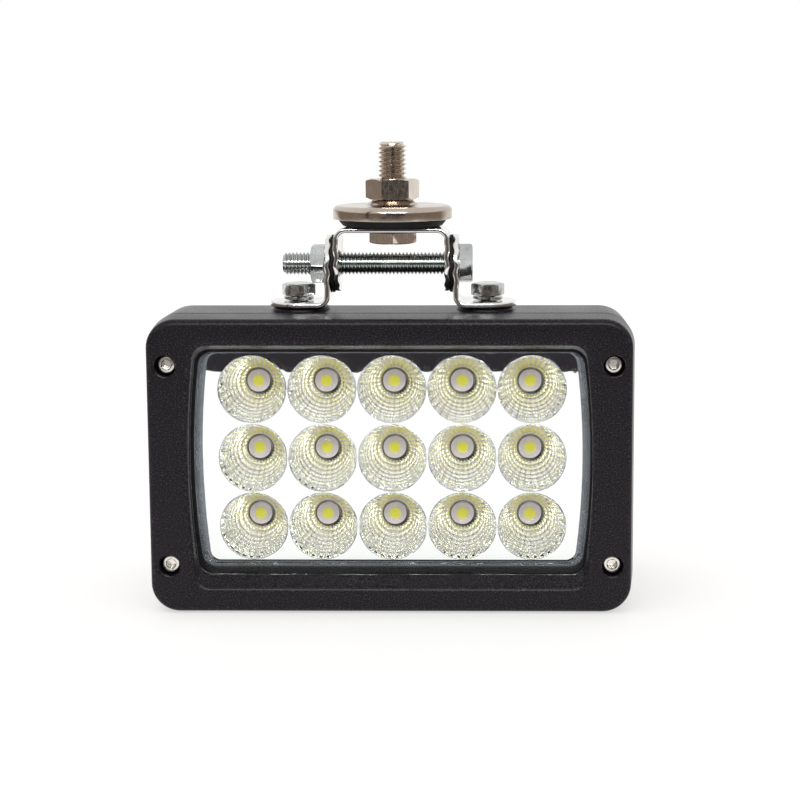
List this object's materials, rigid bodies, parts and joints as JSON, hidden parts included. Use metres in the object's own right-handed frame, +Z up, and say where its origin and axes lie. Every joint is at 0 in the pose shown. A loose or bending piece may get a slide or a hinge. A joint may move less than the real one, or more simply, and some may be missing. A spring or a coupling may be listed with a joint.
{
  "type": "fog light",
  "caption": "Rectangular LED work and fog light in a black cast housing, with a clear lens over a faceted mirror reflector and a tilting, swivelling stud bracket on top.",
  "frame": {"origin": "centre of the rectangle under the housing, on the surface that the lamp stands on", "axes": "+X along the lamp's width, to the right seen from the front; -Y the way the light shines; +Z up, along the mounting stud"},
  "size_m": [0.1622, 0.06, 0.1553],
  "materials": {
    "black_powder_coat": "cast aluminium under fine-textured satin black powder coat",
    "clear_glass": "clear polished",
    "black_rubber": "matt moulded",
    "metallised_plastic": "vacuum-metallised mirror coat",
    "led_emitter": "clear dome over yellow phosphor",
    "white_circuit_board": "white solder mask on aluminium",
    "green_circuit_board": "green solder mask",
    "black_plastic": "moulded nylon",
    "stainless_steel": "warm bright stainless",
    "zinc_plated_steel": "bright zinc plating",
    "polished_plated_steel": "polished and plated, with pressed radial teeth at the pivots"
  },
  "bodies": {
    "lamp": {"rear_housing": "black_powder_coat", "front_bezel": "black_powder_coat", "bezel_screw_1": "stainless_steel", "bezel_screw_2": "stainless_steel", "bezel_screw_3": "stainless_steel", "bezel_screw_4": "stainless_steel", "lens": "clear_glass", "lens_gasket": "black_rubber", "housing_gasket": "black_rubber", "reflector": "metallised_plastic", "led_board": "white_circuit_board", "board_screw_1": "stainless_steel", "board_screw_2": "stainless_steel", "board_screw_3": "stainless_steel", "board_screw_4": "stainless_steel", "led_01": "led_emitter", "led_02": "led_emitter", "led_03": "led_emitter", "led_04": "led_emitter", "led_05": "led_emitter", "led_06": "led_emitter", "led_07": "led_emitter", "led_08": "led_emitter", "led_09": "led_emitter", "led_10": "led_emitter", "led_11": "led_emitter", "led_12": "led_emitter", "led_13": "led_emitter", "led_14": "led_emitter", "led_15": "led_emitter", "driver_board": "green_circuit_board", "gland_body": "black_plastic", "gland_nut": "black_plastic", "vent_plug": "black_plastic", "foot_left": "polished_plated_steel", "foot_right": "polished_plated_steel", "foot_bolt_left": "zinc_plated_steel", "foot_bolt_right": "zinc_plated_steel", "foot_spring_washer_left": "zinc_plated_steel", "foot_spring_washer_right": "zinc_plated_steel", "tilt_bolt": "zinc_plated_steel", "tilt_nut": "zinc_plated_steel"},
    "bracket": {"swivel_bracket": "polished_plated_steel", "toothed_washer_left": "black_rubber", "toothed_washer_right": "black_rubber"},
    "mount": {"mount_stud": "stainless_steel", "mount_pad": "black_rubber", "cup_washer": "stainless_steel"},
    "clamp_nut": {"mount_nut": "stainless_steel"}
  },
  "joints": [
    {"name": "tilt", "type": "hinge", "parent": "lamp", "child": "bracket", "pos_m": [0, -0.005, 0.1141], "axis": [1, 0, 0], "range_deg": [-60, 60]},
    {"name": "swivel", "type": "hinge", "parent": "bracket", "child": "mount", "pos_m": [0, -0.005, 0.1268], "axis": [0, 0, 1], "continuous": true},
    {"name": "nut_travel", "type": "slide", "parent": "mount", "child": "clamp_nut", "axis": [0, 0, 1], "range_m": [0, 0.012]}
  ]
}
